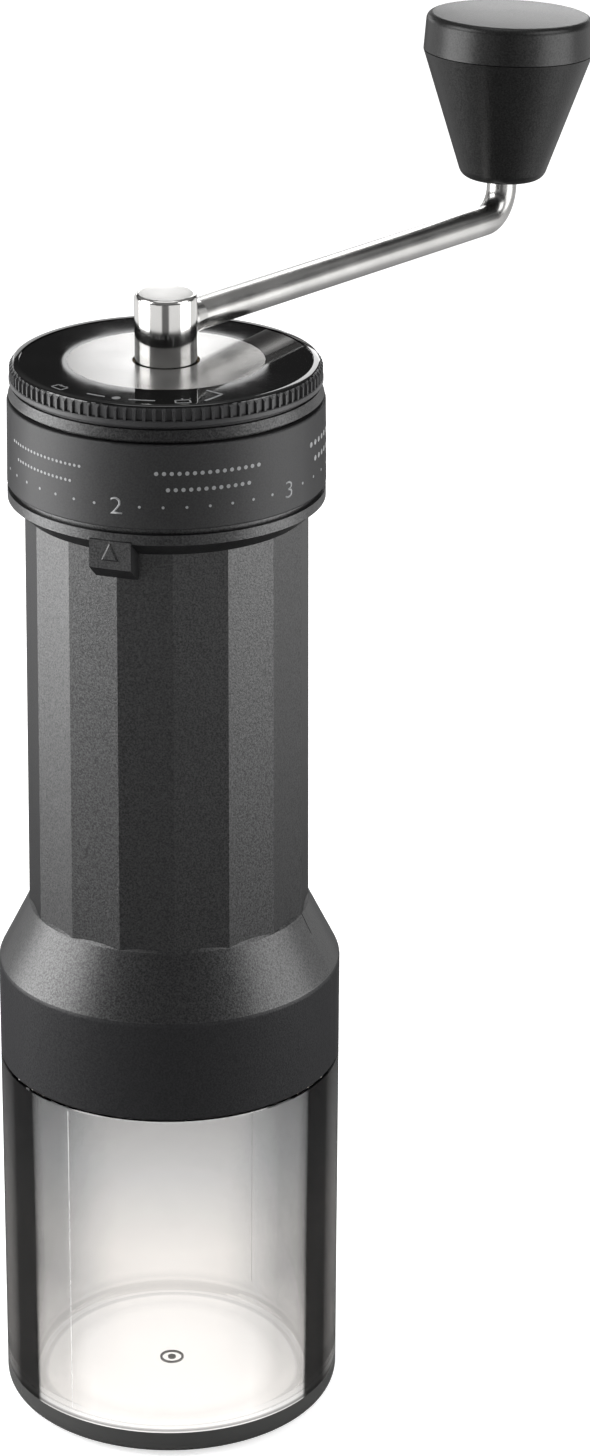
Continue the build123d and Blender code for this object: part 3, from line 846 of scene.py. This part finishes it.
class GRINDER_OT_dial_print(bpy.types.Operator):
    """Prints the dial's numbers, the dots between them and the signs for the size of the grounds"""

    bl_idname = "grinder.dial_print"
    bl_label = "Dial print"

    # Degrees from one number to the next. The 2 stands a little to the right of the tab.
    numeral_step = 66.3
    first_angle = 2.4 - numeral_step
    dots_between = 7
    grain_radii = (0.28, 0.38, 0.52, 0.7)
    grain_pitch = 3.6
    # Height and width of each row of grains.
    grain_rows = ((197.9, 21), (194.9, 17))
    # Share of a font's size that a digit is high, how much its strokes are thinned and how much
    # it is widened.
    digit_share, digit_thinning, digit_width = 0.72, 0.009, 1.15

    def execute(self, context):
        low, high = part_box("dial_ring")
        foot_radius, top_radius = DIAL_FOOT_RADIUS * MM, DIAL_TOP_RADIUS * MM
        middle = (foot_radius + top_radius) / 2
        level = sizes().numeral_level

        def on_dial(along, height, proud):
            turn = along / middle
            rise = (height - low.z) / (high.z - low.z)
            radius = foot_radius + (top_radius - foot_radius) * rise + proud
            return Vector((radius * math.sin(turn), -radius * math.cos(turn), height))

        def along(steps):
            return math.radians(self.first_angle + steps * self.numeral_step) * middle

        marks = start_sheet("dial_dots")
        for number in range(len(self.grain_radii)):
            for dot in range(1, self.dots_between + 1):
                disc(along(number + dot / (self.dots_between + 1)), level, sizes().dot_radius)

        grains = start_sheet("dial_grain_signs")
        for number, size in enumerate(self.grain_radii):
            pitch = size * self.grain_pitch
            for row_level, width in self.grain_rows:
                count = int(width / pitch)
                for i in range(count):
                    offset = (i - (count - 1) / 2) * pitch * MM
                    disc(along(number + 0.5) + offset, row_level * MM, size * MM)

        numbers = [self.numeral(i + 1, along(i), level) for i in range(len(self.grain_radii) + 1)]
        ink = printed_ink(colours().ink)
        for piece in [marks, grains, *numbers]:
            raise_ink(piece, sizes().ink_height)
            lay_marks(piece, on_dial)
            dress(piece, ink)
            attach(piece, "dial")
        return {"FINISHED"}

    def numeral(self, number, along, level):
        """A flat number of the set height, with its middle at the given spot."""
        deselect()
        bpy.ops.object.text_add()
        text = bpy.context.object
        text.name = f"dial_number_{number}"
        text.data.body = str(number)
        text.data.align_x = "CENTER"
        text.data.align_y = "CENTER"
        text.data.size = sizes().numeral_height / self.digit_share
        text.data.offset = -self.digit_thinning * text.data.size
        bpy.ops.object.convert(target="MESH")
        piece = bpy.context.object
        xs = [v.co.x for v in piece.data.vertices]
        ys = [v.co.y for v in piece.data.vertices]
        grow = sizes().numeral_height / (max(ys) - min(ys))
        centre = Vector(((max(xs) + min(xs)) / 2, (max(ys) + min(ys)) / 2, 0))
        widen = Vector((self.digit_width, 1, 1))
        for vertex in piece.data.vertices:
            vertex.co = (vertex.co - centre) * grow * widen + Vector((along, level, 0))
        return piece


class GRINDER_OT_lid_print(bpy.types.Operator):
    """Prints the lid's marks: a dot, two lines, a closed and an open padlock and an arrow"""

    bl_idname = "grinder.lid_print"
    bl_label = "Lid print"

    def execute(self, context):
        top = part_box("lid_cover")[1].z
        reach = sizes().lid_mark_radius
        stroke = sizes().lid_stroke

        def on_lid(along, inward, proud):
            turn = along / reach
            radius = reach - inward
            return Vector((radius * math.sin(turn), -radius * math.cos(turn), top + proud))

        def spot(degrees, radius):
            return Vector((math.radians(degrees) * reach, reach - radius * MM, 0))

        marks = start_sheet("lid_marks")
        dot = spot(-1.05, 24.2)
        disc(dot.x, dot.y, 0.8 * MM, 24)
        lines = ((-14.8, 24.3), (-6.2, 24.3)), ((4.4, 24.3), (15.6, 24.3))
        arrow = ((45.9, 22.8), (41.6, 19.6)), ((45.9, 22.8), (35.9, 25.2))
        for start, end in (*lines, *arrow):
            strip(spot(*start), spot(*end), stroke)
        # The open padlock's bow is lifted and turned to the side, with one foot in the air.
        self.padlock(spot(-29, 24.9), 0, 0, stroke * 0.6)
        self.padlock(spot(27, 24.9), 0.5 * MM, 0.8 * MM, stroke * 0.6)
        raise_ink(marks, sizes().ink_height * 0.6)
        lay_marks(marks, on_lid)
        dress(marks, printed_ink(colours().lid_ink))
        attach(marks, "lid")
        return {"FINISHED"}

    def padlock(self, centre, lift, turned, line):
        """In edit mode: the outline of a padlock."""
        half_width, half_height, bow_radius = 1.25 * MM, 0.8 * MM, 0.75 * MM
        left, right = centre.x - half_width, centre.x + half_width
        low, high = centre.y - half_height, centre.y + half_height
        corners = [(left, low, 0), (right, low, 0), (right, high, 0), (left, high, 0)]
        for start, end in zip(corners, corners[1:] + corners[:1]):
            strip(start, end, line, 4)
        middle, bow = centre.x + turned, high + 0.4 * MM + lift
        ends = [Vector((middle + bow_radius + side, bow, 0)) for side in (-line / 2, line / 2)]
        swept(ends, math.pi, 12, (middle, bow, 0))
        for side in (-bow_radius, bow_radius):
            foot = high if side < 0 or not turned else bow - 0.2 * MM
            strip((middle + side, foot, 0), (middle + side, bow, 0), line, 2)


class GRINDER_OT_lid_rim(bpy.types.Operator):
    """Turns the low polished bead round the lid's cover, which catches a thin line of light"""

    bl_idname = "grinder.lid_rim"
    bl_label = "Lid rim"

    def execute(self, context):
        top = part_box("lid_ring")[1].z / MM
        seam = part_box("lid_cover")[1].x / MM
        rim = start_sheet("lid_rim_bead")
        # Nearly level on top, with a narrow slope down to the ribs.
        section = ((-0.55, 0.01), (-0.55, 0.16), (0.38, 0.14), (0.52, 0.08), (0.63, 0.01))
        bead = [(seam + out, top + rise) for out, rise in section]
        swept(upright([*bead, bead[0]]), math.tau, 128)
        close_up(50)
        dress(rim, polished_black_abs())
        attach(rim, "lid")
        return {"FINISHED"}


class GRINDER_OT_mouldings(bpy.types.Operator):
    """Gives the moulded plastic pieces their grain and gloss"""

    bl_idname = "grinder.mouldings"
    bl_label = "Moulded plastic"

    def execute(self, context):
        finish_nodes(
            {
                "grained_dark_plastic": spark_grained_abs,
                "dial_plastic": satin_abs_dial,
                "lid_plastic": satin_abs_lid,
                "gloss_black_plastic": polished_black_abs,
                "knob_plastic": fine_grained_knob,
                "inner_plastic": plain_inner_plastic,
                "silicone": silicone_rubber,
            }
        )
        return {"FINISHED"}


class GRINDER_OT_parting_lines(bpy.types.Operator):
    """Draws the two fine lines down the flare where the housing's mould parts"""

    bl_idname = "grinder.parting_lines"
    bl_label = "Parting lines"

    def execute(self, context):
        top_radius, top_level = 26.6 * MM, 103.7 * MM
        foot_radius, foot_level = 31.9 * MM, 93.05 * MM
        slope = math.hypot(foot_radius - top_radius, top_level - foot_level)
        out = Vector((top_level - foot_level, 0, foot_radius - top_radius)).normalized()
        lines = start_sheet("flare_parting_lines")
        for side in (0, 1):
            strip((side * slope * 2, 0, 0), (side * slope * 2 + slope, 0, 0), 0.2 * MM)
        raise_ink(lines, 0.02 * MM)

        def on_flare(along, across, proud):
            side = -1 if along > 1.5 * slope else 1
            share = (along if side > 0 else along - 2 * slope) / slope
            radius = top_radius + (foot_radius - top_radius) * share
            level = top_level + (foot_level - top_level) * share
            point = Vector((radius, across, level)) + out * proud
            return Vector((side * point.x, side * point.y, point.z))

        lay_marks(lines, on_flare)
        dress(lines, dark_parting_line())
        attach(lines, "housing")
        return {"FINISHED"}


class GRINDER_OT_foot_web(bpy.types.Operator):
    """Closes the slivers between the barrel's flats and the flare's round edge with a sloped web"""

    bl_idname = "grinder.foot_web"
    bl_label = "Foot web"

    def execute(self, context):
        seat, flat, floor, top, slope = 26.54, 26.01, 103.31, 103.78, 1.0
        web = start_sheet("barrel_foot_web")
        section = [(flat, floor), (seat, floor), (seat, top), (flat, top)]
        swept(upright([*section, section[0]]), math.tau, BARREL_SIDES * 8)
        close_up(50)

        def round_barrel(x, y, z):
            angle, radius = math.atan2(y, x), math.hypot(x, y)
            if radius < (flat + seat) / 2 * MM:
                pitch = math.tau / BARREL_SIDES
                radius /= math.cos(angle % pitch - pitch / 2)
                if z > (floor + top) / 2 * MM:
                    z += (seat * MM - radius) * slope
            return Vector((radius * math.cos(angle), radius * math.sin(angle), z))

        lay_marks(web, round_barrel)
        dress(web, spark_grained_abs())
        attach(web, "housing")
        return {"FINISHED"}


class GRINDER_OT_tab_relief(bpy.types.Operator):
    """Raises the triangle on the index tab, with bevelled sides that catch the light"""

    bl_idname = "grinder.tab_relief"
    bl_label = "Tab triangle"

    def execute(self, context):
        lowest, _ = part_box("index_ring")
        front, middle = lowest.y, lowest.z + 5.35 * MM
        # Half width, foot and tip of the tab's triangle about its incentre.
        half, foot, tip = 1.75, -1.095, 2.505
        sunk, proud, bevel = 0.02 * MM, 0.26 * MM, 0.3
        relief = start_sheet("tab_triangle_relief")
        bpy.ops.mesh.primitive_cylinder_add(vertices=3, radius=MM, depth=MM)
        close_up(20)

        def on_tab(x, y, z):
            # The even triangle is 1.5 radii high, from half a radius below its middle.
            across = x / math.cos(math.radians(30)) * half
            height = (y + 0.5 * MM) / 1.5 * (tip - foot) + foot * MM
            share, out = (1 + bevel / foot, proud) if z > 0 else (1, -sunk)
            return Vector((across * share, front - out, middle + height * share))

        lay_marks(relief, on_tab)
        dress(relief, spark_grained_abs())
        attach(relief, "housing")
        return {"FINISHED"}


class GRINDER_OT_metals(bpy.types.Operator):
    """Gives the crank, the lid's disc and the turned parts their metal"""

    bl_idname = "grinder.metals"
    bl_label = "Metals"

    def execute(self, context):
        finish_nodes(
            {
                "polished_steel": mirror_steel,
                "satin_steel": satin_steel,
                "plain_steel": turned_steel,
                "bush_brass": turned_brass,
            }
        )
        dress(frame["nodes"]["crank_arm"], buffed_bar())
        return {"FINISHED"}


class GRINDER_OT_burrs(bpy.types.Operator):
    """Gives the two burrs their fired ceramic"""

    bl_idname = "grinder.burrs"
    bl_label = "Burrs"

    def execute(self, context):
        finish_nodes({"burr_ceramic": fired_ceramic})
        return {"FINISHED"}


# Studio


def from_view(right, ahead, up):
    """A place to the right of the camera's line of sight, ahead on the floor and up, in metres."""
    c, s = math.cos(VIEW_TURN), math.sin(VIEW_TURN)
    return Vector((right * c - ahead * s, right * s + ahead * c, up))


def softbox(name, place, aim, size, power, shape="RECTANGLE"):
    """An area lamp that is seen only in reflections: size in metres, power in watts."""
    deselect()
    bpy.ops.object.light_add(type="AREA", location=place)
    lamp = bpy.context.object
    lamp.name = name
    lamp.data.shape = shape
    lamp.data.size, lamp.data.size_y = size
    lamp.data.energy = power
    lamp.rotation_euler = (aim - place).to_track_quat("-Z", "Y").to_euler()
    lamp.visible_camera = False


def mirrored_paper(tree, place, reach):
    """How bright the paper is where the grinder mirrors it."""
    line = {0: place, 1: from_view(0, 1, 0)}
    ahead = add(tree, "ShaderNodeVectorMath", line, operation="DOT_PRODUCT").outputs["Value"]
    bearing = compute(tree, "DIVIDE", ahead, reach)
    # On the floor it is bright all round a little way off, and standing up only behind the grinder.
    behind = remap(tree, bearing, (0.45, 0.8), (0.18, 1.0))
    around = remap(tree, reach, (0.25, 0.6))
    # The camera and its stand take a narrow piece out of it in front.
    around = times(tree, around, remap(tree, bearing, (-0.985, -0.965), (0.12, 1.0)))
    # Straight behind the grinder it is out of the softboxes' light.
    around = times(tree, around, remap(tree, bearing, (0.85, 0.97), (1.0, 0.3)))
    standing = remap(tree, level_of(tree, place), (0.15, 0.4))
    return add(tree, "ShaderNodeMix", {0: standing, 2: around, 3: behind}).outputs[0]


def white_paper():
    """Floor that is white to the eye, in reflections and through the jar, and keeps the shadow."""
    # Matt white paper: a plain pale surface, with light of its own only where it is the background.
    material, tree, place = blank("paper_white_matt")
    path = add(tree, "ShaderNodeLightPath").outputs
    reach = length_of(tree, place)
    plain = remap(tree, reach, (0.15, 0.5), (0.65, 1.0))
    mirrored = mirrored_paper(tree, place, reach)
    # Under the jar no lamp reaches the paper, so there it is white by itself where the jar is
    # looked through, a little over white, which makes up for what the jar's clear walls take.
    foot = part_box("jar")[1].x
    under = remap(tree, reach, (foot, 1.6 * foot), (1.2, 0.0))
    beyond = remap(tree, reach, (0.25, 1.1), (1.05, 1.2))
    through = compute(tree, "MAXIMUM", beyond, under)
    strength = 0.0
    for ray, glow in (("Camera", plain), ("Glossy", mirrored), ("Transmission", through)):
        part = times(tree, path[f"Is {ray} Ray"], glow)
        strength = compute(tree, "MAXIMUM", strength, part)
    light = add(tree, "ShaderNodeEmission", {"Color": (1, 1, 1, 1), "Strength": strength})
    tone = colours().floor
    fibre = noise(tree, place, 60 * MM, 3.0)
    tint = ramp(tree, fibre, [(0.3, shade(tone, 0.99)), (0.7, tone)])
    # In reflections the paper's colour drops to a quarter: painted shade in what the grinder
    # mirrors.
    shaded_in_reflections = blend(tree, path["Is Glossy Ray"], tint, [*shade(tone, 0.25), 1])
    paper = add(tree, "ShaderNodeBsdfDiffuse", {"Color": shaded_in_reflections})
    both = {0: light.outputs[0], 1: paper.outputs[0]}
    shown(tree, add(tree, "ShaderNodeAddShader", both).outputs[0])
    return material


def dim_studio():
    """World: a dark room, brighter overhead, that is white where the eye looks past the floor."""
    world = bpy.data.worlds.new("dim_studio")
    world.use_nodes = True
    tree = world.node_tree
    tree.nodes.clear()
    way = add(tree, "ShaderNodeTexCoord").outputs["Generated"]
    tones = ((0.0, "#484848"), (0.3, "#3c3c3c"), (0.5, "#808080"), (1.0, "#8c8c8c"))
    room = ramp(tree, level_of(tree, way), [(level, linear(code)) for level, code in tones])
    eye = add(tree, "ShaderNodeLightPath").outputs["Is Camera Ray"]
    sky = {"Color": blend(tree, eye, room, (1, 1, 1, 1)), "Strength": 1.0}
    light = add(tree, "ShaderNodeBackground", sky).outputs[0]
    add(tree, "ShaderNodeOutputWorld", {"Surface": light})
    return world


class GRINDER_OT_stage(bpy.types.Operator):
    """Sets up the white floor, the softboxes, the dim studio round them and the photo's camera"""

    bl_idname = "grinder.stage"
    bl_label = "Studio"

    def execute(self, context):
        scene = context.scene
        floor = start_sheet("studio_floor")
        # The paper lies just below the jar's foot, and curves up far away all round.
        ground, reach, sweep = -0.4, 2300, 500
        outline = [(0, ground), (300, ground), (1200, ground), (reach, ground)]
        outline += arc(reach, ground + sweep, sweep, -90, -8, 10)
        outline += [(2850, 960)]
        swept(upright(outline), math.tau, 96)
        close_up(30)
        dress(floor, white_paper())

        aim = Vector((0, 0, 150)) * MM
        lid, knob = Vector((0, 0, 210)) * MM, Vector((33, 110, 250)) * MM
        # Each side has two softboxes with a gap between them, which the level lid mirrors as black.
        for side, right, ahead, width, low_power, high_power in (
            ("left", -0.40, -0.03, 0.38, 2.4, 2.1),
            ("right", 0.39, -0.07, 0.32, 1.2, 1.0),
        ):
            low, high = from_view(right, ahead, 0.155), from_view(right, ahead, 0.53)
            softbox(f"{side}_low_softbox", low, aim, (width, 0.29), low_power)
            softbox(f"{side}_high_softbox", high, aim, (width, 0.24), high_power)
        softbox("top_softbox", from_view(0.0, 0.25, 1.1), aim, (0.5, 0.5), 1.2)
        # Small cards behind the lid and the knob, so that the disc, the hub's top, the lid's rim
        # and the knob's top read pale.
        disc_place, hub_place = from_view(-0.0049, 0.15, 0.2568), from_view(-0.005, 0.15, 0.2663)
        softbox("disc_card", disc_place, lid, (0.045, 0.014), 0.0036, "ELLIPSE")
        softbox("hub_card", hub_place, lid, (0.013, 0.0075), 0.00022, "ELLIPSE")
        softbox("rim_card", from_view(-0.195, 0.70, 0.35), lid, (0.07, 0.12), 0.06)
        softbox("knob_card", from_view(0.137, 0.70, 0.42), knob, (0.18, 0.30), 0.55)
        scene.world = dim_studio()

        camera_data = bpy.data.cameras.new("photo_camera")
        camera = bpy.data.objects.new("photo_camera", camera_data)
        scene.collection.objects.link(camera)
        camera_data.sensor_width = CAMERA_SENSOR
        camera_data.sensor_fit = "AUTO"
        camera_data.lens = CAMERA_LENS
        camera_data.clip_start = 0.01
        camera_data.clip_end = 20
        aim_turn = (CAMERA_TARGET - CAMERA_PLACE).to_track_quat("-Z", "Y").to_matrix()
        turn = aim_turn @ Matrix.Rotation(CAMERA_ROLL, 3, "Z")
        camera.matrix_world = Matrix.Translation(CAMERA_PLACE) @ turn.to_4x4()
        scene.camera = camera
        scene.view_settings.view_transform = "Standard"
        return {"FINISHED"}


class GRINDER_PT_sidebar(bpy.types.Panel):
    """Lists the steps that dress the grinder"""

    bl_idname = "GRINDER_PT_sidebar"
    bl_label = "Coffee grinder"
    bl_space_type = "VIEW_3D"
    bl_region_type = "UI"
    bl_category = "Grinder"

    def draw(self, context):
        column = self.layout.column()
        for step in STEPS:
            column.operator(step.bl_idname)
        for group in (context.scene.grinder_sizes, context.scene.grinder_colours):
            for name in group.__annotations__:
                column.prop(group, name)


STEPS = (
    GRINDER_OT_jar,
    GRINDER_OT_dial_print,
    GRINDER_OT_lid_print,
    GRINDER_OT_lid_rim,
    GRINDER_OT_mouldings,
    GRINDER_OT_parting_lines,
    GRINDER_OT_foot_web,
    GRINDER_OT_tab_relief,
    GRINDER_OT_metals,
    GRINDER_OT_burrs,
    GRINDER_OT_stage,
)
CLASSES = (GrinderColours, GrinderSizes, *STEPS, GRINDER_PT_sidebar)


def register():
    for made in CLASSES:
        bpy.utils.register_class(made)
    bpy.types.Scene.grinder_colours = bpy.props.PointerProperty(type=GrinderColours)
    bpy.types.Scene.grinder_sizes = bpy.props.PointerProperty(type=GrinderSizes)


def unregister():
    del bpy.types.Scene.grinder_sizes
    del bpy.types.Scene.grinder_colours
    for made in reversed(CLASSES):
        bpy.utils.unregister_class(made)


def main():
    register()
    for step in STEPS:
        group, name = step.bl_idname.split(".")
        getattr(getattr(bpy.ops, group), name)()


if __name__ == "__main__":
    main()
